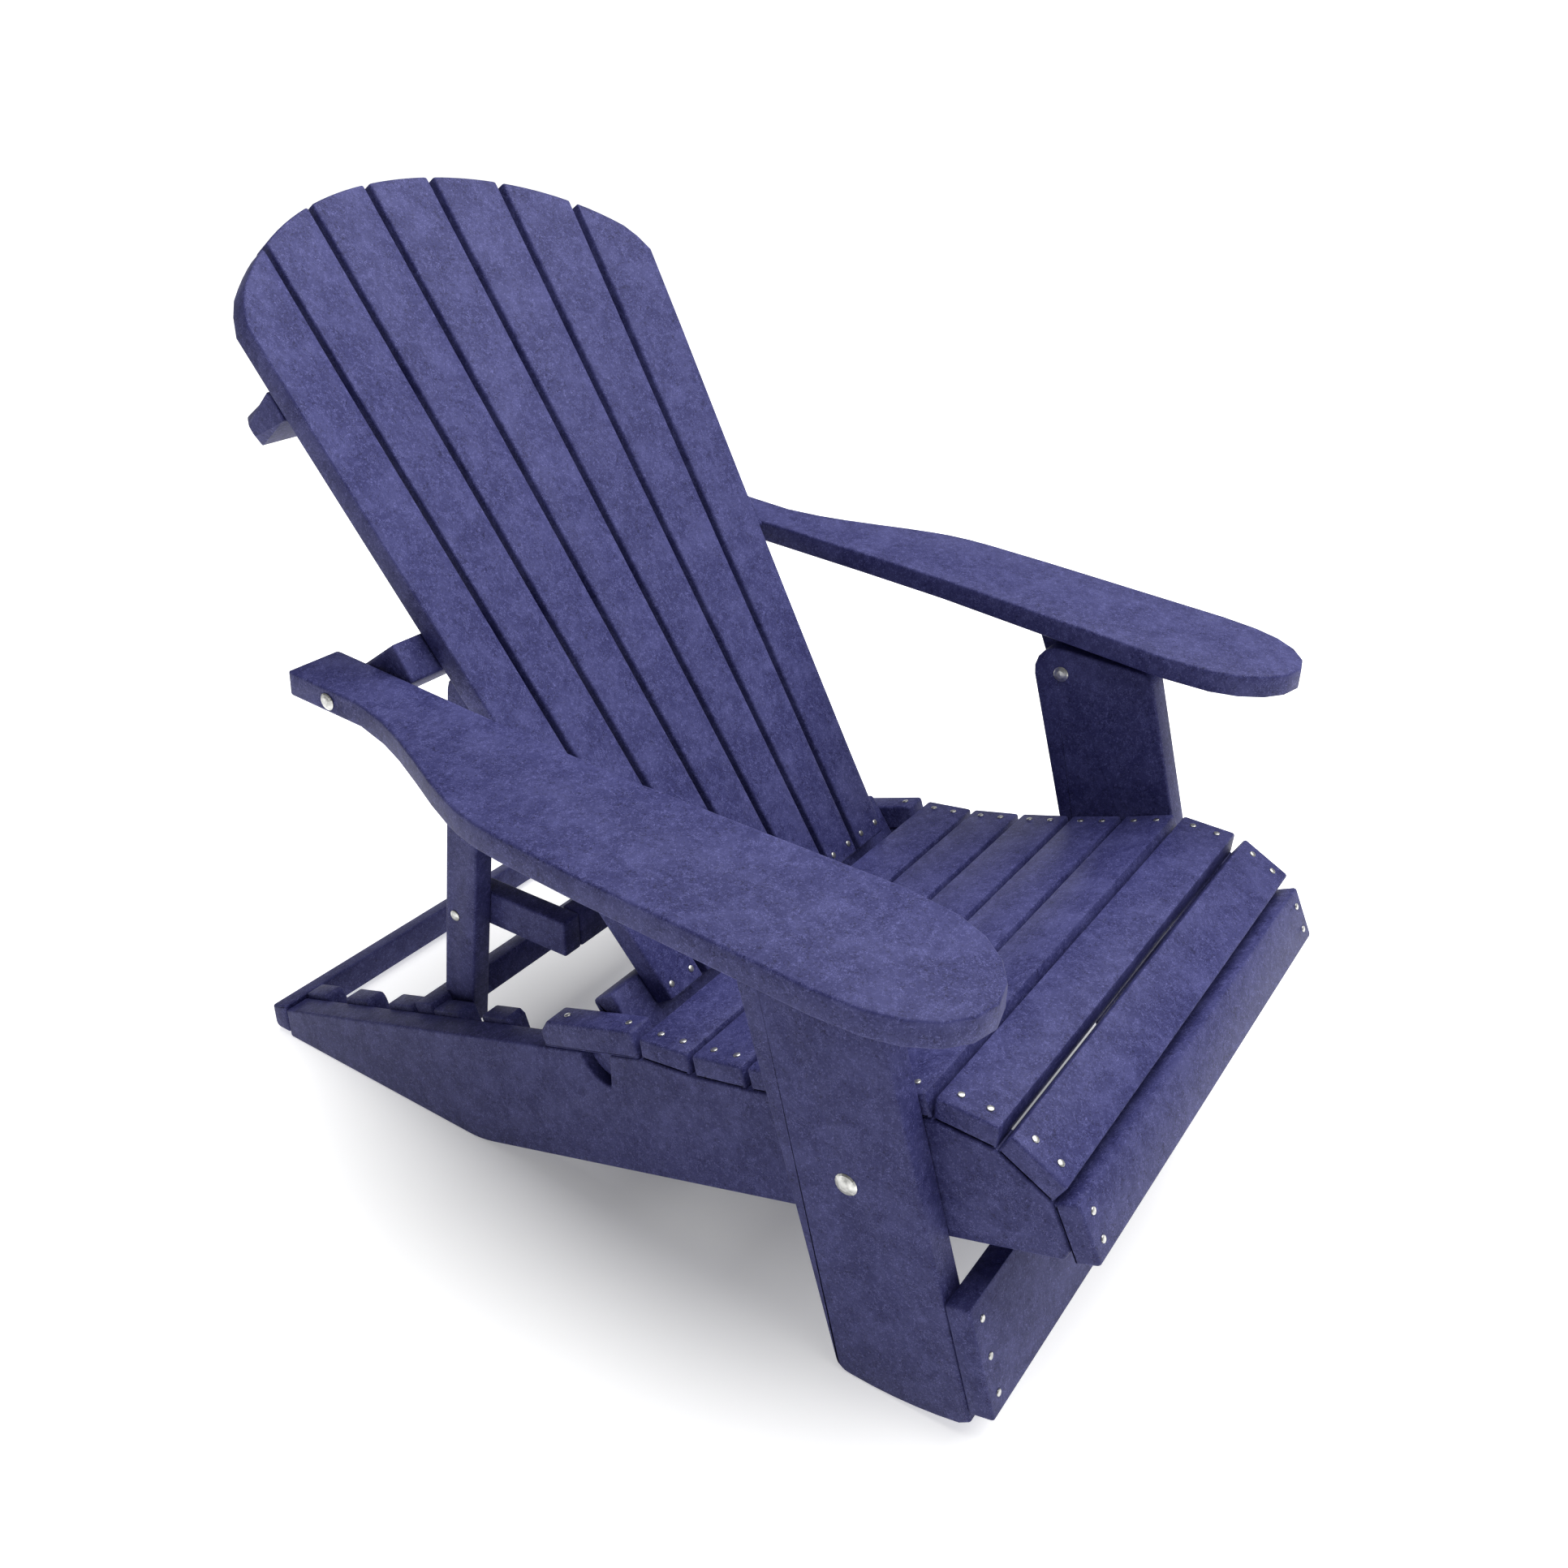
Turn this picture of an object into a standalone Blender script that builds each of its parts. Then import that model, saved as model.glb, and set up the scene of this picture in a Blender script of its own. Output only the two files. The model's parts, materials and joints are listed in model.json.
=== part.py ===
"""Reclining adirondack chair in plastic lumber: seat frame, fanned back, arms, front legs and a prop frame.

X runs across the chair, the chair faces -Y, Z is up. Most boards are outlines in the YZ plane,
given a thickness across X.
"""
import math
import bmesh
import bpy
from mathutils import Matrix, Vector

# Driving dimensions, in metres and degrees.
SEAT_WIDTH = 0.572
BACK_HEIGHT = 0.8785
BACK_ANGLE = 55.1
PLANK = 0.0318
BOARD = 0.0254
PLANK_DEPTH = 0.1397
RAIL_ANGLE = 18.3
LEG_ANGLE = 16.1
TAIL_Y = 0.5090
SLAT_WIDTH = 0.059
SLAT_GAP = 0.0076
SEAT_SLAT_THICK = 0.0238
RACK_PITCH = 0.0827
TOOTH_DEPTH = 0.0265
TOOTH_RISE = 0.0055
BAR_LENGTH = 0.030
BAR_DEPTH = 0.032
POST_WIDTH = 0.0445
BACK_SLATS = 7
BOLT_RADIUS = 0.005
GAP = 0.0003
SWING_GAP = 0.0006

# Frame directions of the sloping rails and of the back.
RAIL = Vector((math.cos(math.radians(RAIL_ANGLE)), -math.sin(math.radians(RAIL_ANGLE))))
RAIL_UP = Vector((-RAIL.y, RAIL.x))
RAIL_SLOPE = math.tan(math.radians(RAIL_ANGLE))
UP = Vector((math.cos(math.radians(BACK_ANGLE)), math.sin(math.radians(BACK_ANGLE))))
REAR = Vector((UP.y, -UP.x))
BACK_FOOT = Vector((-0.0359, 0.2417))

# Pivots, as (y, z): backrest on the rails, arms on the backrest, legs on the rails, arms on the legs, prop.
BACK_PIVOT = Vector((-0.0155, 0.2133))
ARM_PIVOT = Vector((0.2465, 0.5534))
LEG_PIVOT = Vector((-0.3111, 0.2321))
LEG_TOP_PIVOT = Vector((-0.2101, 0.4655))
PROP_PIVOT = BACK_FOOT + 0.3665 * UP + (BOARD + 0.0135) * REAR
BRACE_BOLT = Vector((0.2547, 0.2419))

# Levels across X, from the outside of the seat inwards and outwards.
RAIL_OUT = SEAT_WIDTH / 2
RAIL_IN = RAIL_OUT - PLANK
RACK_OUT = RAIL_IN - GAP
RACK_IN = RACK_OUT - BOARD
POST_OUT = RACK_IN - 0.0040
POST_IN = POST_OUT - BOARD
BRACE_OUT = POST_IN - GAP
BRACE_IN = BRACE_OUT - BOARD
LEG_IN = RAIL_OUT + SWING_GAP
LEG_OUT = LEG_IN + PLANK
CLEAT_IN = LEG_OUT + SWING_GAP
CLEAT_OUT = CLEAT_IN + BOARD
ARM_EDGE = RAIL_OUT + 0.067

BLUE = (0.072, 0.071, 0.275, 1.0)
STEEL = (0.60, 0.60, 0.62, 1.0)


def clear_scene():
    for obj in list(bpy.data.objects):
        bpy.data.objects.remove(obj, do_unlink=True)


def make_material(name, colour, metallic, roughness):
    material = bpy.data.materials.new(name)
    material.use_nodes = True
    shader = material.node_tree.nodes["Principled BSDF"]
    shader.inputs["Base Color"].default_value = colour
    shader.inputs["Metallic"].default_value = metallic
    shader.inputs["Roughness"].default_value = roughness
    return material


clear_scene()
LUMBER = make_material("poly_lumber", BLUE, 0.0, 0.62)
METAL = make_material("stainless_steel", STEEL, 1.0, 0.32)
ROOT = bpy.data.objects.new("adirondack_chair", None)
bpy.context.scene.collection.objects.link(ROOT)


def make_body(name, pivot):
    """An empty on a joint's axis, which the pieces of one moving body hang from."""
    empty = bpy.data.objects.new(name, None)
    empty.location = (0.0, pivot.x, pivot.y)
    empty.parent = ROOT
    bpy.context.scene.collection.objects.link(empty)
    return empty


SEAT = make_body("seat_frame", Vector((0.0, 0.0)))
BACK = make_body("backrest", BACK_PIVOT)
LEGS = make_body("front_legs", LEG_PIVOT)
PROP = make_body("prop_frame", PROP_PIVOT)
ARMS = {side: make_body("arm_" + side, ARM_PIVOT) for side in ("right", "left")}
SIDES = {"right": -1.0, "left": 1.0}


def add_object(name, mesh, body, material):
    """Turns a bmesh in chair coordinates into an object whose origin is its body's pivot."""
    bmesh.ops.recalc_face_normals(mesh, faces=mesh.faces)
    bmesh.ops.translate(mesh, verts=mesh.verts, vec=-body.location)
    data = bpy.data.meshes.new(name)
    mesh.to_mesh(data)
    mesh.free()
    obj = bpy.data.objects.new(name, data)
    data.materials.append(material)
    obj.parent = body
    bpy.context.scene.collection.objects.link(obj)
    return obj


def rounded(points, steps=4):
    """The outline through (y, z, radius) corners, each turned on its radius."""
    outline = []
    count = len(points)
    for i in range(count):
        corner = Vector(points[i][:2])
        radius = points[i][2] if len(points[i]) > 2 else 0.0
        before = (Vector(points[i - 1][:2]) - corner).normalized()
        after = (Vector(points[(i + 1) % count][:2]) - corner).normalized()
        angle = before.angle(after)
        if radius <= 0.0 or angle > math.radians(179.0):
            outline.append(corner)
            continue
        reach = radius / math.tan(angle / 2)
        centre = corner + (before + after).normalized() * radius / math.sin(angle / 2)
        start = corner + before * reach - centre
        turn = start.angle_signed(corner + after * reach - centre)
        for k in range(steps + 1):
            outline.append(centre + Matrix.Rotation(-turn * k / steps, 2) @ start)
    return outline


def arc(centre, radius, first, last, steps=5):
    """Points on a circle in the YZ plane, angles in degrees from +Y towards +Z."""
    points = []
    for k in range(steps + 1):
        a = math.radians(first + (last - first) * k / steps)
        points.append(centre + radius * Vector((math.cos(a), math.sin(a))))
    return points


def prism_mesh(outline, x0, x1):
    mesh = bmesh.new()
    low, high = min(x0, x1), max(x0, x1)
    face = mesh.faces.new([mesh.verts.new((low, p[0], p[1])) for p in outline])
    grown = bmesh.ops.extrude_face_region(mesh, geom=[face])
    moved = [v for v in grown["geom"] if isinstance(v, bmesh.types.BMVert)]
    bmesh.ops.translate(mesh, verts=moved, vec=(high - low, 0.0, 0.0))
    return mesh


def prism(name, outline, x0, x1, body):
    return add_object(name, prism_mesh(outline, x0, x1), body, LUMBER)


def cut(obj, name, mesh, body):
    """Takes a helper solid out of a piece."""
    cutter = add_object(name, mesh, body, LUMBER)
    cutter.hide_render = True
    cutter.display_type = "WIRE"
    modifier = obj.modifiers.new(name, "BOOLEAN")
    modifier.operation = "DIFFERENCE"
    modifier.solver = "EXACT"
    modifier.object = cutter


def bore(obj, centre, radius, x0, x1, body):
    """A round hole across X, running past both faces."""
    ring = arc(centre, radius, 0.0, 360.0 - 22.5, 15)
    cut(obj, "bore_" + obj.name, prism_mesh(ring, x0 - 0.005, x1 + 0.005), body)


def bolt(name, centre, head_x, tip_x, head_radius, body):
    """A dome-headed bolt across X: the head stands outside head_x, the shank ends at tip_x."""
    way = 1.0 if tip_x > head_x else -1.0
    rise = head_radius * 0.30
    shank = head_radius if head_radius < BOLT_RADIUS else BOLT_RADIUS
    profile = [(head_x - way * rise, 0.0), (head_x - way * rise * 0.86, head_radius * 0.5)]
    profile += [(head_x - way * rise * 0.42, head_radius * 0.86), (head_x - way * GAP, head_radius)]
    profile += [(head_x - way * GAP, shank), (tip_x, shank), (tip_x, 0.0)]
    mesh = bmesh.new()
    verts = [mesh.verts.new((x, centre.x + r, centre.y)) for x, r in profile]
    edges = [mesh.edges.new(pair) for pair in zip(verts, verts[1:])]
    origin = (0.0, centre.x, centre.y)
    bmesh.ops.spin(mesh, geom=verts + edges, cent=origin, axis=(1.0, 0.0, 0.0), angle=math.tau, steps=16)
    bmesh.ops.remove_doubles(mesh, verts=mesh.verts, dist=0.00005)
    obj = add_object(name, mesh, body, METAL)
    obj.data.shade_smooth()
    return obj


def on_rail(along, height):
    """A point on the rail: along from the backrest pivot towards the rear, height above its top edge."""
    return BACK_PIVOT + along * RAIL + height * RAIL_UP


def rail_at(y, height):
    """A point that height above the rail's top edge, at this y."""
    return on_rail((y - BACK_PIVOT.x + height * RAIL.y) / RAIL.x, height)


def on_back(s, off):
    """A point up the back by s and behind its front face by off."""
    return BACK_FOOT + s * UP + off * REAR


# Seat facets, each as (start, end, slope), from the backrest to the nose.
FACET_SLOPES = (7.5, 13.0, 16.0, 18.0, 20.0, -2.5, -28.5, -64.5)
CREST_SPACE = 0.0009


def seat_facets():
    facets = []
    start = rail_at(-0.058, 0.0) + Vector((0.0, 0.0015))
    for i, slope in enumerate(FACET_SLOPES):
        a = math.radians(slope)
        end = start + SLAT_WIDTH * Vector((-math.cos(a), math.sin(a)))
        facets.append((start, end, a))
        if i + 1 < len(FACET_SLOPES):
            following = math.radians(FACET_SLOPES[i + 1])
            crest = following - a < math.radians(-15.0)
            middle = (a + following) / 2
            space = CREST_SPACE if crest else SLAT_GAP
            start = end + space * Vector((-math.cos(middle), math.sin(middle)))
    return facets


FACETS = seat_facets()
CAP_LENGTH = 0.131
CAP_HEIGHT = 0.031
STRETCHER_LIFT = 0.0055
NOTCH = 0.040


def make_rail(side):
    sign = SIDES[side]
    lower = on_rail(0.0, -PLANK_DEPTH)
    foot_y = lower.x + lower.y / RAIL_SLOPE
    nose = FACETS[-1][0].lerp(FACETS[-1][1], 0.80)
    nose_low = Vector((nose.x + 0.004, lower.y + (lower.x - nose.x - 0.004) * RAIL_SLOPE))
    points = [(TAIL_Y - GAP, 0.0), (foot_y, 0.0, 0.12)]
    points += [(nose_low.x, nose_low.y, 0.004), (nose.x, nose.y, 0.003)]
    for i in range(len(FACETS) - 1, -1, -1):
        start = FACETS[i][0]
        before = FACETS[i - 1][1]
        if i > 0 and (start - before).length < CREST_SPACE * 1.5:
            points.append(tuple((start + before) / 2))
            continue
        points.append(tuple(start))
        if i > 0:
            points.append(tuple(before))
    points.append(tuple(rail_at(-0.0545, 0.0)))
    outline = rounded(points)
    outline.append(BACK_PIVOT.copy())
    outline += arc(BACK_PIVOT, NOTCH, -90.0, -RAIL_ANGLE, 6)
    outline.append(rail_at(TAIL_Y - GAP, 0.0))
    rail = prism("side_rail_" + side, outline, sign * RAIL_IN, sign * RAIL_OUT, SEAT)
    bore(rail, LEG_PIVOT, BOLT_RADIUS + GAP, *sorted((sign * RAIL_IN, sign * RAIL_OUT)), SEAT)
    return rail


def make_rack(side):
    sign = SIDES[side]
    top = TOOTH_RISE
    half = BAR_LENGTH / 2
    rest = (PROP_FOOT - BACK_PIVOT).dot(RAIL)
    front = (0.154 - BACK_PIVOT.x) / RAIL.x
    outline = [on_rail(front, -0.079), on_rail(front, top - 0.006), on_rail(front + 0.006, top)]
    for k in (-1, 0, 1, 2):
        front_wall = rest + k * RACK_PITCH - half - 0.0005
        rear_wall = rest + k * RACK_PITCH + half
        outline.append(on_rail(front_wall, top))
        outline.append(on_rail(front_wall, top - TOOTH_DEPTH))
        for along, depth in ((0.0040, TOOTH_DEPTH), (0.0045, 0.010), (0.0060, 0.004), (0.0090, 0.0)):
            outline.append(on_rail(rear_wall + along, top - depth))
    end = rail_at(TAIL_Y - GAP, top)
    outline.append(end)
    outline.append(Vector((end.x, 0.004)))
    corner = on_rail(0.0, -0.079)
    outline.append(Vector((corner.x + (corner.y - 0.004) / RAIL_SLOPE, 0.004)))
    return prism("rack_" + side, outline, sign * RACK_IN, sign * RACK_OUT, SEAT)


def make_seat():
    for side in SIDES:
        make_rail(side)
        make_rack(side)
    tail = rail_at(TAIL_Y, STRETCHER_LIFT)
    tip = rail_at(TAIL_Y + BOARD, STRETCHER_LIFT)
    points = [(TAIL_Y, STRETCHER_LIFT), (TAIL_Y + BOARD, STRETCHER_LIFT, 0.008)]
    points += [(tip.x, tip.y, 0.003), (tail.x, tail.y, 0.002)]
    prism("rear_stretcher", rounded(points), -RAIL_OUT, RAIL_OUT, SEAT)
    for i, (start, end, a) in enumerate(FACETS):
        out = Vector((math.sin(a), math.cos(a)))
        low = [start + GAP * out, end + GAP * out]
        high = [low[1] + SEAT_SLAT_THICK * out, low[0] + SEAT_SLAT_THICK * out]
        radii = (0.0012, 0.0012, 0.003, 0.003)
        outline = rounded([(*p, r) for p, r in zip(low + high, radii)], 2)
        prism(f"seat_slat_{i + 1}", outline, -RAIL_OUT, RAIL_OUT, SEAT)
    for side, sign in SIDES.items():
        front = (-0.0540 - BACK_PIVOT.x) / RAIL.x
        back = front + CAP_LENGTH
        block = [on_rail(front, GAP), on_rail(back, GAP), on_rail(back, CAP_HEIGHT * 0.6)]
        block += [on_rail(back - 0.013, CAP_HEIGHT), on_rail(front, CAP_HEIGHT)]
        outline = rounded([(*p, r) for p, r in zip(block, (0.002, 0.002, 0.006, 0.006, 0.004))], 3)
        prism("hinge_cap_" + side, outline, sign * RAIL_IN, sign * RAIL_OUT, SEAT)
        bolt("leg_pivot_bolt_" + side, LEG_PIVOT, sign * LEG_OUT, sign * (RAIL_IN - 0.004), 0.0115, SEAT)


# The fanned back: each slat's edges and its top, in widths at height s.
FAN_LOW = 0.0606
FAN_RISE = 0.0313
SLAT_SPACE = 0.0080
CROWN_RADIUS = 0.41
SHOULDER = 0.055
BOW = 0.0403


def half_width(s):
    return BACK_SLATS / 2 * (FAN_LOW + FAN_RISE * s) - SLAT_SPACE / 2


def bow(x, s):
    """How far forward of the back's flat plane the slats stand at (x, s)."""
    return -BOW * (max(s, 0.0) / BACK_HEIGHT) ** 1.25 * (x / half_width(s)) ** 2


def top_of_back(x):
    """The arched top edge, with the outer shoulders turned on a smaller radius."""
    x = abs(x)
    big = BACK_HEIGHT - CROWN_RADIUS + math.sqrt(max(CROWN_RADIUS ** 2 - x ** 2, 0.0))
    inner = SHOULDER_X - SHOULDER
    if x <= SHOULDER_TANGENT:
        return big
    fall = math.sqrt(max(SHOULDER ** 2 - (x - inner) ** 2, 0.0))
    return SHOULDER_S + fall


def shoulder():
    """The small circle that meets the crown from inside and the slats' outer edge."""
    s = BACK_HEIGHT * 0.82
    for _ in range(40):
        centre_x = half_width(s) - SHOULDER
        s = BACK_HEIGHT - CROWN_RADIUS + math.sqrt((CROWN_RADIUS - SHOULDER) ** 2 - centre_x ** 2)
    tangent = centre_x * CROWN_RADIUS / (CROWN_RADIUS - SHOULDER)
    return centre_x + SHOULDER, s, tangent


SHOULDER_X, SHOULDER_S, SHOULDER_TANGENT = shoulder()


def split_quad(mesh, corners, left):
    """Two triangles over four corners, their diagonal mirrored on the left half so that both halves match."""
    a, b, c, d = corners
    for triangle in ((a, b, d), (b, c, d)) if left else ((a, b, c), (a, c, d)):
        mesh.faces.new(triangle)


def make_back_slat(index):
    """A tapered slat as a grid bent to the bowed back, given its thickness rearwards."""
    low = index - BACK_SLATS / 2
    columns, rows = 6, 7

    def edge(side, s):
        pitch = FAN_LOW + FAN_RISE * s
        inset = SLAT_SPACE / 2 if side == 0 else -SLAT_SPACE / 2
        return (low + side) * pitch + inset

    mesh = bmesh.new()
    fronts, backs = [], []
    for c in range(columns + 1):
        t = c / columns
        x_top = edge(0, BACK_HEIGHT * 0.9) * (1 - t) + edge(1, BACK_HEIGHT * 0.9) * t
        x_top = max(min(x_top, SHOULDER_X - 0.0004), -SHOULDER_X + 0.0004)
        top = top_of_back(x_top)
        for r in range(rows + 1):
            s = top * r / rows
            x = edge(0, s) * (1 - t) + edge(1, s) * t
            if r == rows:
                x = max(min(x, SHOULDER_X - 0.0004), -SHOULDER_X + 0.0004)
            for off, store in ((0.0, fronts), (BOARD, backs)):
                p = on_back(s, off + bow(x, s))
                store.append(mesh.verts.new((x, p.x, p.y)))
    width = rows + 1
    for c in range(columns):
        left = low + (c + 0.5) / columns > 0.0
        for r in range(rows):
            a, b, d, e = c * width + r, (c + 1) * width + r, c * width + r + 1, (c + 1) * width + r + 1
            for side in (fronts, backs):
                split_quad(mesh, (side[a], side[b], side[e], side[d]), left)
        for r in (0, rows):
            a, b = c * width + r, (c + 1) * width + r
            split_quad(mesh, (fronts[a], fronts[b], backs[b], backs[a]), left)
    for c in (0, columns):
        for r in range(rows):
            a, b = c * width + r, c * width + r + 1
            split_quad(mesh, (fronts[a], fronts[b], backs[b], backs[a]), True)
    return add_object(f"back_slat_{index + 1}", mesh, BACK, LUMBER)


def bowed_batten(name, low, high, rear, half, chamfer, columns=14):
    """A batten across the back whose front follows the bowed slats."""
    mesh = bmesh.new()
    sections = []
    across = [(half - chamfer) * (2 * c / columns - 1) for c in range(columns + 1)]
    for x in [-half] + across + [half]:
        inset = chamfer if abs(x) == half else 0.0
        ring = []
        for s, flat in ((low, False), (high, False), (high - inset, True), (low + inset, True)):
            edge_x = max(min(x, half_width(s)), -half_width(s))
            off = rear - inset if flat else BOARD + GAP * 2.5 + bow(edge_x, s)
            p = on_back(s, off)
            ring.append(mesh.verts.new((x, p.x, p.y)))
        sections.append(ring)
    for c, (first, second) in enumerate(zip(sections, sections[1:])):
        for k in range(4):
            split_quad(mesh, (first[k], first[k - 1], second[k - 1], second[k]), 2 * c > columns + 1)
    for ring in (sections[0], sections[-1]):
        split_quad(mesh, ring, True)
    return add_object(name, mesh, BACK, LUMBER)


CROSSBAR_LOW = 0.397
CROSSBAR_HIGH = 0.437
CROSSBAR_REAR = 0.081
CROSSBAR_HALF = RAIL_OUT + 0.0035
BATTEN_REAR = BOARD + 0.0310
BATTEN_DROP = 0.187
BATTEN_END = 0.282
TENON = 0.037
PIVOT_COVER = 0.006
BATTEN_HALF = RAIL_IN - 0.0022


def make_back():
    for index in range(BACK_SLATS):
        make_back_slat(index)
    batten_high = BACK_HEIGHT - BATTEN_DROP
    bowed_batten("upper_batten", batten_high - 0.030, batten_high, BATTEN_REAR, BATTEN_END, 0.008)
    bar = bowed_batten("arm_crossbar", CROSSBAR_LOW, CROSSBAR_HIGH, CROSSBAR_REAR, CROSSBAR_HALF, 0.003)
    hole = arc(ARM_PIVOT, BOLT_RADIUS + GAP, 0.0, 337.5, 15)
    for sign in SIDES.values():
        ends = (sign * (CROSSBAR_HALF - 0.034), sign * (CROSSBAR_HALF + 0.01))
        cut(bar, f"crossbar_hole_{'left' if sign > 0 else 'right'}", prism_mesh(hole, *ends), BACK)
    low, high = -0.0505, 0.038
    thick = BOARD * 1.25
    corners = [on_back(low, BOARD + GAP), on_back(high, BOARD + GAP)]
    corners += [on_back(high, BOARD + GAP + thick), on_back(low + 0.012, BOARD + GAP + thick)]
    outline = rounded([(*p, 0.004) for p in corners], 2)
    batten = prism("pivot_batten", outline, -BATTEN_HALF, BATTEN_HALF, BACK)
    sector = [BACK_PIVOT + Vector((0.0006, -0.0006))] + arc(BACK_PIVOT, TENON, -80.0, -28.5, 5)
    for side, sign in SIDES.items():
        tenon = prism("tenon_" + side, sector, sign * (BATTEN_HALF - 0.010), sign * (RAIL_OUT - 0.010), BACK)
        tenon.hide_render = True
        tenon.display_type = "WIRE"
        modifier = batten.modifiers.new("tenon_" + side, "BOOLEAN")
        modifier.operation = "UNION"
        modifier.solver = "EXACT"
        modifier.object = tenon
    for side, sign in SIDES.items():
        root, foot = CROSSBAR_LOW - GAP, 0.3445
        front, rear = BOARD - 0.0064, 0.0580
        corners = [on_back(foot, front), on_back(root, front), on_back(root, rear), on_back(foot, rear)]
        outline = rounded([(*p, r) for p, r in zip(corners, (0.015, 0.001, 0.001, 0.018))], 3)
        hanger = prism("prop_hanger_" + side, outline, sign * BRACE_IN, sign * BRACE_OUT, BACK)
        bore(hanger, PROP_PIVOT, BOLT_RADIUS + GAP, *sorted((sign * BRACE_IN, sign * BRACE_OUT)), BACK)
        tip = sign * (POST_OUT - PIVOT_COVER - 0.001)
        bolt("arm_pivot_bolt_" + side, ARM_PIVOT, sign * ARM_EDGE, sign * (CROSSBAR_HALF - 0.030), 0.0085, BACK)
        bolt("prop_pivot_bolt_" + side, PROP_PIVOT, sign * BRACE_IN, tip, 0.010, BACK)


# Arms: the outline seen from above, as (y, distance beyond the rail's outer face). The arm rises to the rear.
ARM_SLOPE = 0.08
ARM_THICK = BOARD * 1.0032
ARM_TOP = ARM_PIVOT.y + BOARD * 0.5 + ARM_SLOPE * -ARM_PIVOT.x + 0.0006
ARM_OUTER = ((0.300, 0.067), (0.205, 0.066), (0.165, 0.075), (0.134, 0.086), (0.095, 0.103),
             (0.059, 0.1195), (0.030, 0.131), (0.012, 0.137), (-0.015, 0.142), (-0.040, 0.144),
             (-0.120, 0.145), (-0.340, 0.142), (-0.380, 0.1375), (-0.408, 0.1285), (-0.431, 0.113),
             (-0.446, 0.093), (-0.452, 0.069))
ARM_INNER = ((-0.446, 0.044), (-0.431, 0.022), (-0.408, 0.004), (-0.380, -0.007), (-0.330, -0.0115),
             (-0.200, -0.0025), (-0.050, 0.0065), (0.060, 0.0075), (0.300, 0.0055))


def arm_top(y):
    return ARM_TOP + ARM_SLOPE * y


def make_arm(side):
    sign = SIDES[side]
    body = ARMS[side]
    outline = [(RAIL_OUT + x, y) for y, x in ARM_OUTER + ARM_INNER]
    mesh = bmesh.new()
    face = mesh.faces.new([mesh.verts.new((sign * x, y, arm_top(y) - ARM_THICK)) for x, y in outline])
    grown = bmesh.ops.extrude_face_region(mesh, geom=[face])
    moved = [v for v in grown["geom"] if isinstance(v, bmesh.types.BMVert)]
    bmesh.ops.translate(mesh, verts=moved, vec=(0.0, 0.0, ARM_THICK))
    board = add_object("arm_board_" + side, mesh, body, LUMBER)
    reach = sorted((sign * (CROSSBAR_HALF - 0.010), sign * (ARM_EDGE + 0.020)))
    bore(board, ARM_PIVOT, BOLT_RADIUS + GAP, *reach, body)
    under = -ARM_THICK - GAP
    rear, front, low = -0.160, -0.305, LEG_TOP_PIVOT.y - 0.0185
    corners = [(rear, arm_top(rear) + under, 0.001), (rear - 0.026, low, 0.008), (front + 0.020, low, 0.008)]
    corners.append((front, arm_top(front) + under, 0.001))
    cleat = prism("arm_cleat_" + side, rounded(corners, 3), sign * CLEAT_IN, sign * CLEAT_OUT, body)
    bore(cleat, LEG_TOP_PIVOT, BOLT_RADIUS + 0.0008, *sorted((sign * CLEAT_IN, sign * CLEAT_OUT)), body)


LEG_LEAN = Vector((math.sin(math.radians(LEG_ANGLE)), math.cos(math.radians(LEG_ANGLE))))
LEG_ACROSS = Vector((-LEG_LEAN.y, LEG_LEAN.x))
LEG_FRONT = 0.0740
LEG_REAR = LEG_FRONT - PLANK_DEPTH


def on_leg(across, along):
    """A point on the leg, across from its centre line towards the front, along it from the pivot upwards."""
    return LEG_PIVOT + across * LEG_ACROSS + along * LEG_LEAN


def make_leg(side):
    sign = SIDES[side]
    sole = arc(Vector((-0.335, 0.360)), 0.360, 271.5, 253.5, 5)
    rear_edge = on_leg(LEG_REAR, 0.0)
    front_edge = on_leg(LEG_FRONT, 0.0)
    heel = rear_edge - LEG_LEAN * ((rear_edge.y - 0.0006) / LEG_LEAN.y)
    toe = front_edge - LEG_LEAN * ((front_edge.y - 0.0235) / LEG_LEAN.y)
    points = [(heel.x, heel.y, 0.016)]
    points += [(p.x, p.y) for p in sole]
    points.append((toe.x, toe.y, 0.004))
    crest_front = LEG_TOP_PIVOT + Vector((-0.085, 0.0235))
    crest_rear = LEG_TOP_PIVOT + Vector((0.020, 0.0330))
    top_front = front_edge + LEG_LEAN * ((crest_front.y - front_edge.y) / LEG_LEAN.y)
    top_rear = rear_edge + LEG_LEAN * ((crest_rear.y - rear_edge.y) / LEG_LEAN.y)
    points.append((top_front.x, top_front.y, 0.020))
    points.append((top_rear.x, top_rear.y, 0.030))
    leg = prism("front_leg_" + side, rounded(points, 5), sign * LEG_IN, sign * LEG_OUT, LEGS)
    span = sorted((sign * LEG_IN, sign * LEG_OUT))
    bore(leg, LEG_PIVOT, BOLT_RADIUS + GAP, *span, LEGS)
    ring = arc(LEG_TOP_PIVOT, BOLT_RADIUS + GAP, 0.0, 337.5, 15)
    cut(leg, "top_bore_" + side, prism_mesh(ring, span[0] - 0.005, span[1] + 0.005), LEGS)
    bolt("leg_top_bolt_" + side, LEG_TOP_PIVOT, sign * LEG_IN, sign * (CLEAT_OUT + 0.006), 0.009, LEGS)


def make_legs():
    for side in SIDES:
        make_leg(side)
    near, far = LEG_FRONT + GAP, LEG_FRONT + GAP + BOARD
    top, bottom = -0.1070, -0.2280
    corners = [on_leg(near, top), on_leg(far, top), on_leg(far, bottom), on_leg(near, bottom)]
    outline = rounded([(*p, 0.003) for p in corners], 2)
    prism("front_stretcher", outline, -LEG_OUT, LEG_OUT, LEGS)


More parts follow.
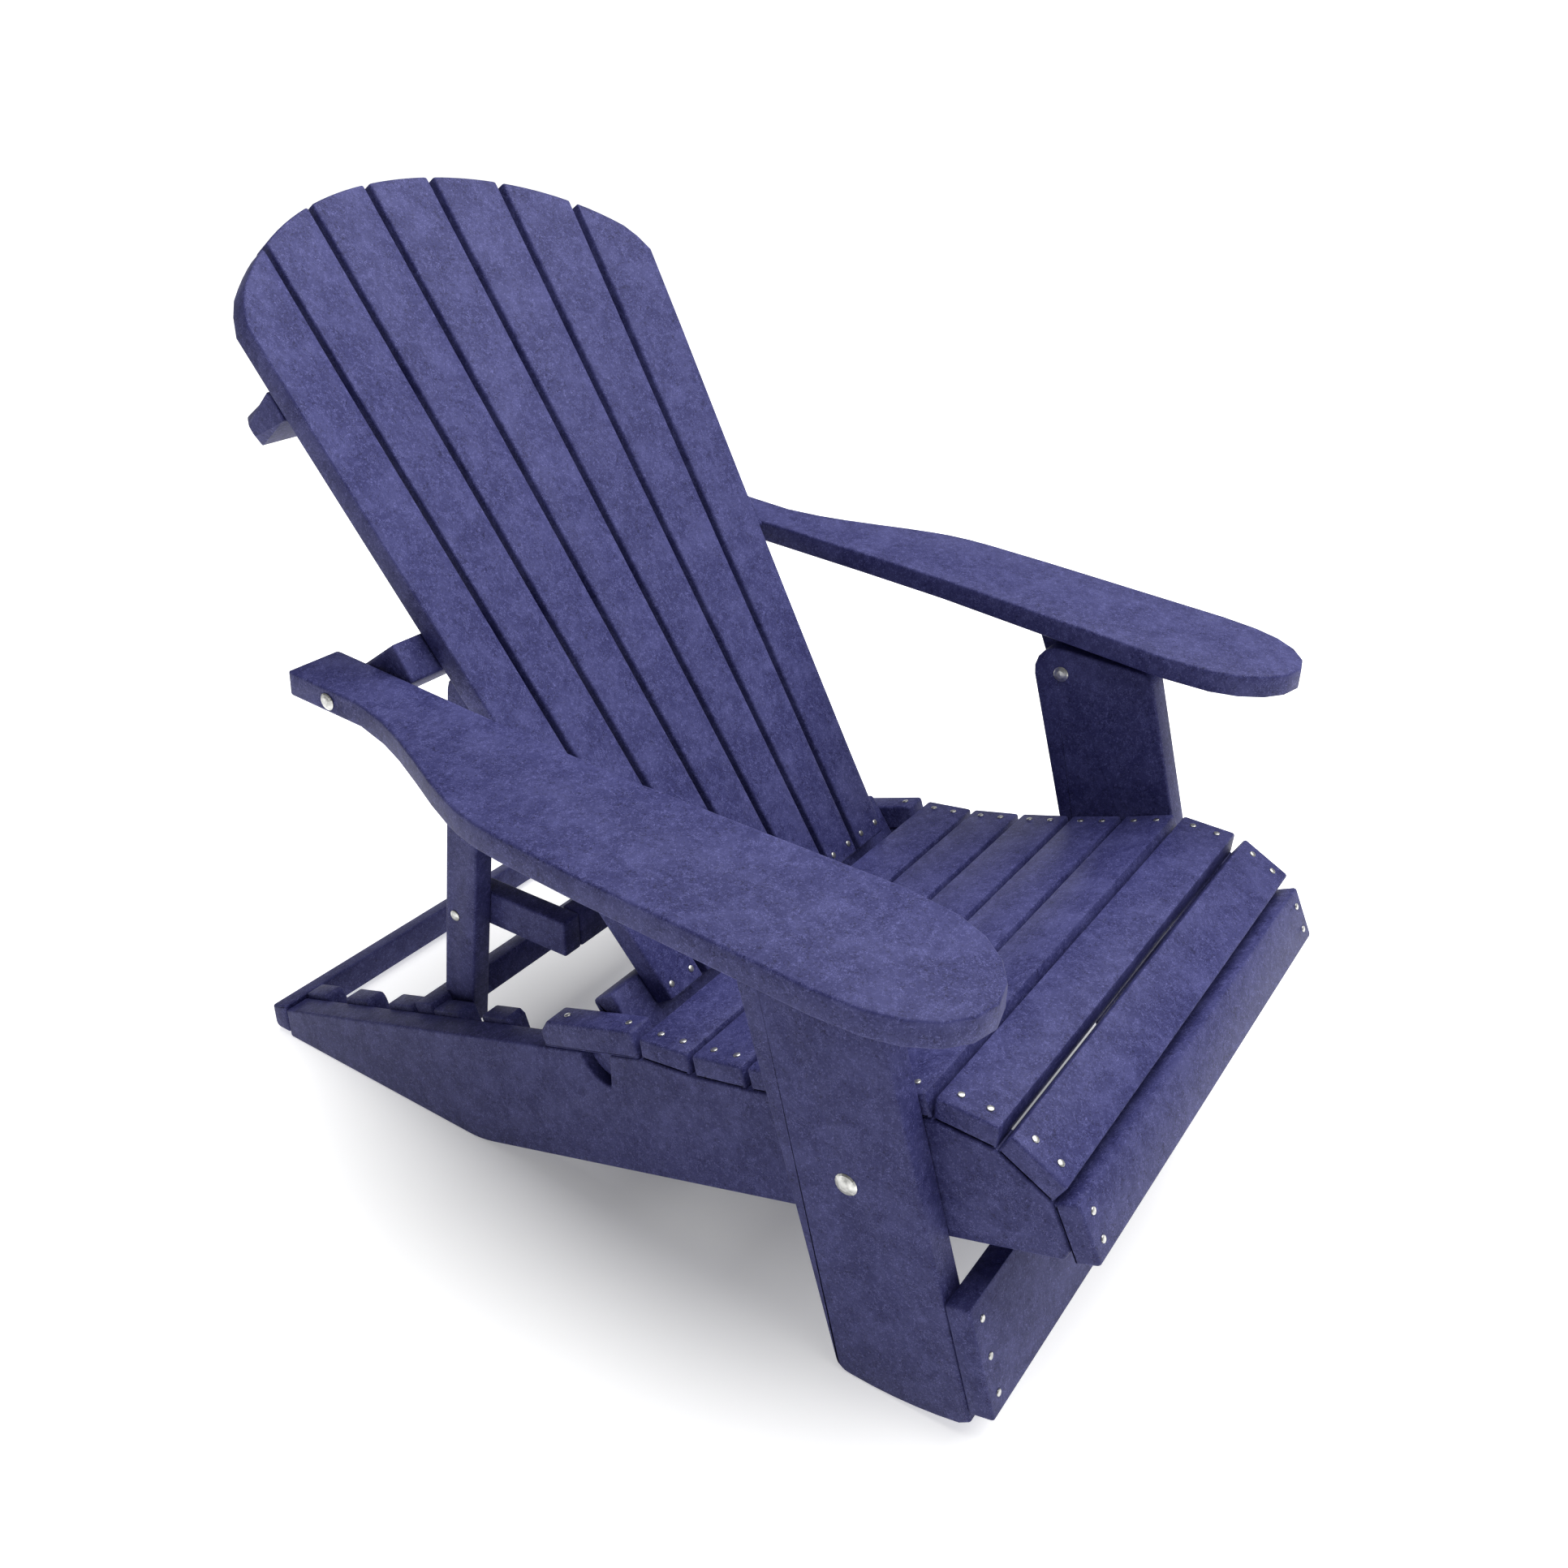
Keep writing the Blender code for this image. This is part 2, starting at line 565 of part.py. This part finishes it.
PROP_FOOT = Vector((0.2890, 0.1080))
POST_TILT = math.atan2(PROP_FOOT.x - PROP_PIVOT.x, PROP_PIVOT.y - PROP_FOOT.y) - math.radians(2.98)
POST_LENGTH = 0.427
BRACE_LOW = 0.2265
BRACE_HIGH = 0.2700
BRACE_FRONT = 0.1169


def make_prop():
    down = Vector((math.sin(POST_TILT), -math.cos(POST_TILT)))
    rearward = Vector((math.cos(POST_TILT), math.sin(POST_TILT)))
    half = POST_WIDTH / 2
    bar = [PROP_FOOT + y * BAR_LENGTH / 2 * RAIL + z * BAR_DEPTH / 2 * RAIL_UP
           for y, z in ((-1, -1), (1, -1), (1, 1), (-1, 1))]
    prism("foot_bar", rounded([(*p, 0.003) for p in bar], 2), -(RACK_OUT - GAP * 2), RACK_OUT - GAP * 2, PROP)
    pocket = [PROP_FOOT + y * (BAR_LENGTH / 2 + GAP) * RAIL + z * (BAR_DEPTH / 2 + GAP) * RAIL_UP
              for y, z in ((-1, -4), (3, -4), (3, 1), (-1, 1))]
    for side, sign in SIDES.items():
        span = sorted((sign * POST_IN, sign * POST_OUT))
        outline = arc(PROP_PIVOT, half, math.degrees(POST_TILT), 180.0 + math.degrees(POST_TILT), 8)
        foot = PROP_PIVOT + POST_LENGTH * down
        outline += [foot - half * rearward, foot + half * rearward]
        post = prism("prop_post_" + side, outline, *span, PROP)
        cut(post, "pocket_" + side, prism_mesh(pocket, span[0] - 0.01, span[1] + 0.01), PROP)
        ring = arc(PROP_PIVOT, BOLT_RADIUS + GAP, 0.0, 337.5, 15)
        blind = sorted((sign * (POST_IN - 0.005), sign * (POST_OUT - PIVOT_COVER)))
        cut(post, "pivot_hole_" + side, prism_mesh(ring, *blind), PROP)
        ring = arc(BRACE_BOLT, BOLT_RADIUS + GAP, 0.0, 337.5, 15)
        cut(post, "brace_hole_" + side, prism_mesh(ring, span[0] - 0.005, span[1] + 0.005), PROP)
        rear = PROP_PIVOT + half * rearward
        low = rear + down * ((rear.y - BRACE_LOW) / -down.y)
        high = rear + down * ((rear.y - BRACE_HIGH) / -down.y)
        corners = [(low.x, low.y, 0.004), (high.x, high.y, 0.004)]
        corners += [(BRACE_FRONT, BRACE_HIGH, 0.003), (BRACE_FRONT, BRACE_LOW, 0.003)]
        span = sorted((sign * BRACE_IN, sign * BRACE_OUT))
        brace = prism("prop_brace_" + side, rounded(corners, 4), *span, PROP)
        bore(brace, BRACE_BOLT, BOLT_RADIUS + GAP, *span, PROP)
        bolt("brace_bolt_" + side, BRACE_BOLT, sign * POST_OUT, sign * (BRACE_IN - 0.004), 0.0065, PROP)
    front, rear = BRACE_FRONT, BRACE_FRONT + BOARD
    corners = [(rear, BRACE_HIGH), (rear, BRACE_LOW), (front, BRACE_LOW), (front, BRACE_HIGH)]
    outline = rounded([(*p, 0.003) for p in corners], 2)
    prism("prop_crossbar", outline, -(BRACE_IN - GAP), BRACE_IN - GAP, PROP)


make_seat()
make_back()
for arm_side in SIDES:
    make_arm(arm_side)
make_legs()
make_prop()


def centre_on_floor():
    """Moves the whole chair so that its box stands on the origin."""
    bpy.context.view_layer.update()
    low = Vector((math.inf,) * 3)
    high = Vector((-math.inf,) * 3)
    graph = bpy.context.evaluated_depsgraph_get()
    for obj in bpy.data.objects:
        if obj.type == "MESH" and not obj.hide_render:
            done = obj.evaluated_get(graph)
            for corner in done.bound_box:
                p = done.matrix_world @ Vector(corner)
                low = Vector(map(min, low, p))
                high = Vector(map(max, high, p))
    ROOT.location = (-(low.x + high.x) / 2, -(low.y + high.y) / 2, -low.z)


centre_on_floor()
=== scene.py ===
import json
import math

import bpy
from mathutils import Matrix, Vector


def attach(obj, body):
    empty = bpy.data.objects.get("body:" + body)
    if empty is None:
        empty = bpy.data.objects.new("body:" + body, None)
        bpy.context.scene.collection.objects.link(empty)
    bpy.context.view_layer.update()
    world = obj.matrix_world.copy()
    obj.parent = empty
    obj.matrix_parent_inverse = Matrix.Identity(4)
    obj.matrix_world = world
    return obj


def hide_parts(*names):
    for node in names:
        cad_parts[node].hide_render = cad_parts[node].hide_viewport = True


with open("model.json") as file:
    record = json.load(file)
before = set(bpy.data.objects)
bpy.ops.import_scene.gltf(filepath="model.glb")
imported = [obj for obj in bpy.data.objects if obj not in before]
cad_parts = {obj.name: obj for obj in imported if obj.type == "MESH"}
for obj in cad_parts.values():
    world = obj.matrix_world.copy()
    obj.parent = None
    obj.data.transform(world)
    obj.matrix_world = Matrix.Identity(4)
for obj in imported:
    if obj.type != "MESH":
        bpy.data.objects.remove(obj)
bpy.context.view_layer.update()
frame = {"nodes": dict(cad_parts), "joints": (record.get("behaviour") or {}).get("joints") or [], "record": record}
nodes = frame["nodes"]
bodies = frame["record"]["behaviour"]["bodies"]
bodyOf = {node: body for body, members in bodies.items() for node in members}
print("frame loaded:", len(nodes), "nodes")


# One shader socket, so that material maths reads as expressions.
class Wire:
    def __init__(self, tree, socket):
        self.tree = tree
        self.socket = socket

    def math(self, operation, first, second):
        node = self.tree.nodes.new("ShaderNodeMath")
        node.operation = operation
        for slot, value in zip(node.inputs, (first, second)):
            feed(self.tree, slot, value)
        return Wire(self.tree, node.outputs[0])

    def __add__(self, other):
        return self.math("ADD", self, other)

    def __radd__(self, other):
        return self.math("ADD", other, self)

    def __sub__(self, other):
        return self.math("SUBTRACT", self, other)

    def __rsub__(self, other):
        return self.math("SUBTRACT", other, self)

    def __mul__(self, other):
        return self.math("MULTIPLY", self, other)

    def __rmul__(self, other):
        return self.math("MULTIPLY", other, self)


def feed(tree, slot, value):
    if isinstance(value, Wire):
        tree.links.new(value.socket, slot)
    else:
        slot.default_value = value


class Graph:
    def __init__(self, name):
        self.material = bpy.data.materials.new(name)
        self.material.use_nodes = True
        self.tree = self.material.node_tree
        self.shader = self.tree.nodes["Principled BSDF"]

    def add(self, kind, settings=None, inputs=None, output=0):
        node = self.tree.nodes.new(kind)
        for key, value in (settings or {}).items():
            setattr(node, key, value)
        for key, value in (inputs or {}).items():
            feed(self.tree, node.inputs[key], value)
        return Wire(self.tree, node.outputs[output])

    def band(self, value, low, high):
        inputs = {"Value": value, "From Min": low, "From Max": high}
        return self.add("ShaderNodeMapRange", {"interpolation_type": "SMOOTHSTEP"}, inputs)

    def blend(self, amount, first, second):
        node = self.tree.nodes.new("ShaderNodeMix")
        node.data_type = "RGBA"
        feed(self.tree, node.inputs[0], amount)
        feed(self.tree, node.inputs[6], first)
        feed(self.tree, node.inputs[7], second)
        return Wire(self.tree, node.outputs[2])

    def shade(self, **inputs):
        for key, value in inputs.items():
            feed(self.tree, self.shader.inputs[key.replace("_", " ")], value)
        return self.material


# Recycled-plastic lumber: a violet blue with short curled flecks, paler and darker.
lumberLook = {
    "base": (0.028, 0.029, 0.112, 1.0),
    "pale": (0.130, 0.134, 0.340, 1.0),
    "dark": (0.009, 0.009, 0.048, 1.0),
    "fleckSize": 280.0,
    "speckSize": 480.0,
    "cloudSize": 28.0,
    "paleShare": 0.95,
    "darkShare": 0.85,
    "roughness": 0.52,
    "bumpDepth": 0.00022,
    "bumpSize": 620.0,
    "shine": 0.18,
}


def lumberMaterial(look):
    graph = Graph("polyLumber")
    place = graph.add("ShaderNodeTexCoord", output=3)

    def noise(scale, detail, distortion, offset):
        shift = (offset, offset * 0.7, offset * 1.3)
        moved = graph.add("ShaderNodeVectorMath", {"operation": "ADD"}, {0: place, 1: shift})
        inputs = {"Vector": moved, "Scale": scale, "Detail": detail, "Roughness": 0.6, "Distortion": distortion}
        return graph.add("ShaderNodeTexNoise", None, inputs)

    fleck = noise(look["fleckSize"], 2.0, 2.2, 0.0)
    ridge = graph.band(fleck, 0.47, 0.50) - graph.band(fleck, 0.50, 0.53)
    gate = graph.band(noise(look["fleckSize"] * 0.45, 1.0, 0.6, 3.1), 0.46, 0.60)
    speck = graph.band(noise(look["speckSize"], 2.0, 0.8, 5.3), 0.54, 0.70)
    cloud = noise(look["cloudSize"], 3.0, 0.4, 7.7)
    darkBand = graph.band(noise(look["fleckSize"] * 0.8, 2.0, 2.0, 11.9), 0.52, 0.66)
    darkened = graph.blend(darkBand * look["darkShare"], look["base"], look["dark"])
    cloudy = graph.blend(graph.band(cloud, 0.35, 0.75) * 0.22, darkened, look["pale"])
    paleAmount = (ridge * gate + speck * 0.45) * look["paleShare"]
    colour = graph.blend(paleAmount, cloudy, look["pale"])
    grain = noise(look["bumpSize"], 3.0, 0.5, 1.7)
    height = grain + fleck * 0.7
    bumpInputs = {"Strength": 0.35, "Distance": look["bumpDepth"], "Height": height}
    normal = graph.add("ShaderNodeBump", None, bumpInputs)
    rough = look["roughness"] + graph.band(grain, 0.3, 0.7) * 0.10
    return graph.shade(Base_Color=colour, Roughness=rough, Normal=normal, Specular_IOR_Level=look["shine"])


# Bolt and screw heads in stainless steel.
steelLook = {"bright": (0.62, 0.62, 0.60, 1.0), "dull": (0.36, 0.36, 0.35, 1.0), "roughness": 0.28}


def steelMaterial(look):
    graph = Graph("stainless")
    place = graph.add("ShaderNodeTexCoord", output=3)
    cloud = graph.add("ShaderNodeTexNoise", None, {"Vector": place, "Scale": 180.0, "Detail": 3.0})
    colour = graph.blend(graph.band(cloud, 0.35, 0.70), look["bright"], look["dull"])
    rough = look["roughness"] + cloud * 0.16
    return graph.shade(Base_Color=colour, Roughness=rough, Metallic=1.0)


lumber = lumberMaterial(lumberLook)
steel = steelMaterial(steelLook)
print("materials made")


def only(obj):
    bpy.ops.object.select_all(action="DESELECT")
    obj.select_set(True)
    bpy.context.view_layer.objects.active = obj


def dress(obj, material):
    obj.data.materials.clear()
    obj.data.materials.append(material)


def tidyCopy(node, name):
    piece = nodes[node].copy()
    piece.data = nodes[node].data.copy()
    piece.name = name
    bpy.context.scene.collection.objects.link(piece)
    only(piece)
    bpy.ops.mesh.customdata_custom_splitnormals_clear()
    bpy.ops.object.mode_set(mode="EDIT")
    bpy.ops.mesh.select_all(action="SELECT")
    bpy.ops.mesh.remove_doubles(threshold=0.00001)
    bpy.ops.mesh.dissolve_limited(angle_limit=math.radians(0.6))
    fold, skew = math.radians(20.0), math.radians(60.0)
    bpy.ops.mesh.tris_convert_to_quads(face_threshold=fold, shape_threshold=skew)
    bpy.ops.object.mode_set(mode="OBJECT")
    return piece


# Every board is routed round its edges.
boardEdges = {"radius": 0.0030, "steps": 3, "sharpest": 50.0, "smoothBelow": 32.0}


def routedBoard(node, look):
    piece = tidyCopy(node, "board_" + node)
    modifier = piece.modifiers.new("edges", "BEVEL")
    modifier.width = look["radius"]
    modifier.segments = look["steps"]
    modifier.limit_method = "ANGLE"
    modifier.angle_limit = math.radians(look["sharpest"])
    modifier.use_clamp_overlap = False
    bpy.ops.object.modifier_apply(modifier=modifier.name)
    bpy.ops.object.shade_smooth_by_angle(angle=math.radians(look["smoothBelow"]))
    dress(piece, lumber)
    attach(piece, bodyOf[node])
    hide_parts(node)
    return piece


boards = [node for node in sorted(nodes) if "bolt" not in node]
for boardNode in boards:
    routedBoard(boardNode, boardEdges)
for boltNode in sorted(nodes):
    if "bolt" in boltNode:
        nodes[boltNode].data.materials.clear()
        nodes[boltNode].data.materials.append(steel)
print("boards routed:", len(boards))

# Chair directions: the rails slope down to the rear, the back leans rearwards.
railAngle = math.radians(18.3)
backAngle = math.radians(55.1)
shiftY = frame["joints"][0]["pos_m"][1] + 0.0155
backUp = Vector((0.0, math.cos(backAngle), math.sin(backAngle)))
backRear = Vector((0.0, backUp.z, -backUp.y))
backFoot = Vector((0.0, -0.0359 + shiftY, 0.2417))

# Small domed screws.
screwLook = {"radius": 0.0036, "rise": 0.0014}


def screwMaster(look):
    bpy.ops.object.select_all(action="DESELECT")
    bpy.ops.mesh.primitive_cylinder_add(vertices=16, radius=look["radius"], depth=look["rise"] * 2)
    master = bpy.context.object
    bpy.ops.object.mode_set(mode="EDIT")
    bpy.ops.mesh.select_all(action="SELECT")
    bpy.ops.mesh.bevel(offset=look["rise"] * 0.7, segments=2, affect="EDGES")
    bpy.ops.object.mode_set(mode="OBJECT")
    bpy.ops.object.shade_smooth_by_angle(angle=math.radians(50.0))
    return master


def screws(name, body, places, look):
    master = screwMaster(look)
    copies = []
    for point, normal in places:
        copy = master.copy()
        copy.data = master.data.copy()
        bpy.context.scene.collection.objects.link(copy)
        turn = Vector((0.0, 0.0, 1.0)).rotation_difference(Vector(normal)).to_matrix().to_4x4()
        copy.matrix_world = Matrix.Translation(Vector(point)) @ turn
        copies.append(copy)
    bpy.data.objects.remove(master)
    bpy.ops.object.select_all(action="DESELECT")
    for copy in copies:
        copy.select_set(True)
    bpy.context.view_layer.objects.active = copies[0]
    bpy.ops.object.join()
    bpy.ops.object.transform_apply(location=True, rotation=True, scale=True)
    group = bpy.context.object
    group.name = name
    dress(group, steel)
    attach(group, body)
    return group


def topFace(node):
    # The slat's upper face: its centre, outward normal and direction from rear to front.
    mesh = nodes[node].data
    best = max(mesh.polygons, key=lambda face: face.area if face.normal.z > 0.3 else 0.0)
    normal = best.normal.copy()
    along = Vector((0.0, -normal.z, normal.y))
    spots = [v.co for v in mesh.vertices]
    height = max(p.dot(normal) for p in spots)
    reach = [p.dot(along) for p in spots]
    middle = normal * height + along * (min(reach) + max(reach)) / 2
    return middle, normal, along, max(p.x for p in spots)


# Two screws at each end of every seat slat, and two in each hinge cap.
seatScrews = {
    "fromEnd": 0.0160,
    "aside": 0.0135,
    "capAcross": 0.2701,
    "capHeight": 0.0310,
    "capAlong": (-0.026, 0.060),
}
seatPlaces = []
for slatIndex in range(1, 9):
    middle, normal, along, halfWidth = topFace(f"seat_slat_{slatIndex}")
    for sideSign in (-1.0, 1.0):
        sideways = Vector((sideSign * (halfWidth - seatScrews["fromEnd"]), 0.0, 0.0))
        for step in (-seatScrews["aside"], seatScrews["aside"]):
            seatPlaces.append((middle + along * step + sideways, normal))
railAlong = Vector((0.0, math.cos(railAngle), -math.sin(railAngle)))
railUp = Vector((0.0, -railAlong.z, railAlong.y))
railPivot = Vector((0.0, -0.0155 + shiftY, 0.2133))
for sideSign in (-1.0, 1.0):
    for step in seatScrews["capAlong"]:
        place = railPivot + railAlong * step + railUp * seatScrews["capHeight"]
        seatPlaces.append((place + Vector((sideSign * seatScrews["capAcross"], 0.0, 0.0)), railUp))
screws("seatScrews", "seat_frame", seatPlaces, screwLook)

# The back slats are screwed at their feet from the front, and through each batten from behind.
backScrews = {
    "foot": 0.0145,
    "footPitch": 0.0611,
    "footAside": 0.016,
    "pitch": 0.0606,
    "fan": 0.0313,
    "battens": ((0.0, 0.0575), (0.417, 0.0810), (0.6765, 0.0564)),
}
backPlaces = []
for slat in range(-3, 4):
    for step in (-backScrews["footAside"], backScrews["footAside"]):
        sideways = Vector((slat * backScrews["footPitch"] + step, 0.0, 0.0))
        backPlaces.append((backFoot + backUp * backScrews["foot"] + sideways, -backRear))
    for rise, behindBy in backScrews["battens"]:
        sideways = Vector((slat * (backScrews["pitch"] + backScrews["fan"] * rise), 0.0, 0.0))
        backPlaces.append((backFoot + backUp * rise + backRear * behindBy + sideways, backRear))
screws("backScrews", "backrest", backPlaces, screwLook)

# Three screws at each end of the stretcher between the front legs, and a nut on each upper leg bolt.
legAngle = math.radians(16.1)
legUp = Vector((0.0, math.sin(legAngle), math.cos(legAngle)))
legFront = Vector((0.0, -legUp.z, legUp.y))
legPivot = Vector((0.0, -0.3111 + shiftY, 0.2321))
stretcherScrews = {"across": 0.3025, "forward": 0.0997, "drops": (0.127, 0.1675, 0.208)}
legPlaces = []
for sideSign in (-1.0, 1.0):
    sideways = Vector((sideSign * stretcherScrews["across"], 0.0, 0.0))
    for drop in stretcherScrews["drops"]:
        place = legPivot - legUp * drop + legFront * stretcherScrews["forward"] + sideways
        legPlaces.append((place, legFront))
screws("stretcherScrews", "front_legs", legPlaces, screwLook)

nutLook = {"radius": 0.0088, "depth": 0.0056, "standOut": 0.3474, "place": (-0.2101, 0.4655)}
for sideName, sideSign in (("Right", -1.0), ("Left", 1.0)):
    bpy.ops.object.select_all(action="DESELECT")
    bpy.ops.mesh.primitive_cylinder_add(vertices=6, radius=nutLook["radius"], depth=nutLook["depth"])
    nut = bpy.context.object
    nut.name = "nut" + sideName
    nut.location = (sideSign * nutLook["standOut"], nutLook["place"][0] + shiftY, nutLook["place"][1])
    nut.rotation_euler = (0.0, math.radians(90.0), 0.0)
    bpy.ops.object.transform_apply(location=True, rotation=True, scale=True)
    dress(nut, steel)
    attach(nut, "front_legs")
print("screws and nuts placed")


# Studio: a pale floor whose glow is painted light, kept faint near the chair as painted shade and brightening to
# white away from it, and soft light from above.
studio = {
    "floor": (0.80, 0.80, 0.79, 1.0),
    # The faint glow close to the chair is painted shade around it; the floor's glow as a whole is painted light.
    "paintedShadeGlow": (0.12, 0.12, 0.12, 1.0),
    "glowFar": (1.0, 1.0, 1.0, 1.0),
    "near": 0.10,
    "far": 0.90,
    "world": 0.16,
    "lampPower": 235.0,
    "lampSize": 5.0,
    "lampPlace": (0.9, -0.8, 3.5),
    "floorSize": 4000.0,
    "wallSize": 600.0,
    "wallHeight": 0.12,
    "wallPlace": (332.0, 223.0, 0.0),
    "wallFacing": (-0.83, -0.557, 0.0),
}
bpy.ops.object.select_all(action="DESELECT")
bpy.ops.mesh.primitive_plane_add(size=studio["floorSize"], location=(0.0, 0.0, -0.0005))
floor = bpy.context.object
floor.name = "studioFloor"
floorGraph = Graph("glowingFloorShadedNearChair")
floorPlace = floorGraph.add("ShaderNodeTexCoord", output=3)
# Painted shade: the floor's glow is faint close to the chair and rises to full white by the far distance.
distance = floorGraph.add("ShaderNodeVectorMath", {"operation": "LENGTH"}, {0: floorPlace}, 1)
reach = floorGraph.band(distance, studio["near"], studio["far"])
glowWithPaintedShade = floorGraph.blend(reach, studio["paintedShadeGlow"], studio["glowFar"])
floorGraph.shade(Base_Color=studio["floor"], Roughness=0.9, Emission_Color=glowWithPaintedShade, Emission_Strength=1.0)
floor.data.materials.append(floorGraph.material)

# A far wall of the same white hides the horizon.
bpy.ops.object.select_all(action="DESELECT")
bpy.ops.mesh.primitive_plane_add(size=studio["wallSize"], location=studio["wallPlace"])
wall = bpy.context.object
wall.name = "studioWall"
wall.scale = (1.0, studio["wallHeight"], 1.0)
wall.rotation_euler = Vector(studio["wallFacing"]).to_track_quat("Z", "Y").to_euler()
wall.data.materials.append(floorGraph.material)

world = bpy.data.worlds.new("studioWorld")
world.use_nodes = True
world.node_tree.nodes["Background"].inputs[0].default_value = (1.0, 1.0, 1.0, 1.0)
world.node_tree.nodes["Background"].inputs[1].default_value = studio["world"]
bpy.context.scene.world = world

lampData = bpy.data.lights.new("lamp", "AREA")
lampData.shape = "DISK"
lampData.size = studio["lampSize"]
lampData.energy = studio["lampPower"]
lamp = bpy.data.objects.new("lamp", lampData)
lamp.location = studio["lampPlace"]
lamp.rotation_euler = (-Vector(studio["lampPlace"])).to_track_quat("-Z", "Y").to_euler()
bpy.context.scene.collection.objects.link(lamp)

# Camera.
cameraView = {
    "azimuth": -56.128,
    "elevation": 28.542,
    "roll": 0.602,
    "lens": 33.10,
    "place": (-1.1209, -0.7809, 1.1298),
}
azimuth, elevation, roll = (math.radians(cameraView[key]) for key in ("azimuth", "elevation", "roll"))
across = Vector((math.cos(azimuth), math.sin(azimuth), 0.0))
level = math.cos(elevation)
behind = Vector((math.sin(azimuth) * level, -math.cos(azimuth) * level, math.sin(elevation)))
upward = behind.cross(across)
rolledAcross = across * math.cos(roll) + upward * math.sin(roll)
rolledUp = upward * math.cos(roll) - across * math.sin(roll)
cameraData = bpy.data.cameras.new("camera")
cameraData.lens = cameraView["lens"]
cameraData.sensor_width = 36.0
camera = bpy.data.objects.new("camera", cameraData)
axes = Matrix((rolledAcross, rolledUp, behind)).transposed().to_4x4()
camera.matrix_world = Matrix.Translation(Vector(cameraView["place"]) + Vector((0.0, shiftY, 0.0))) @ axes
bpy.context.scene.collection.objects.link(camera)
bpy.context.scene.camera = camera
bpy.context.scene.view_settings.view_transform = "Standard"
print("studio and camera set")
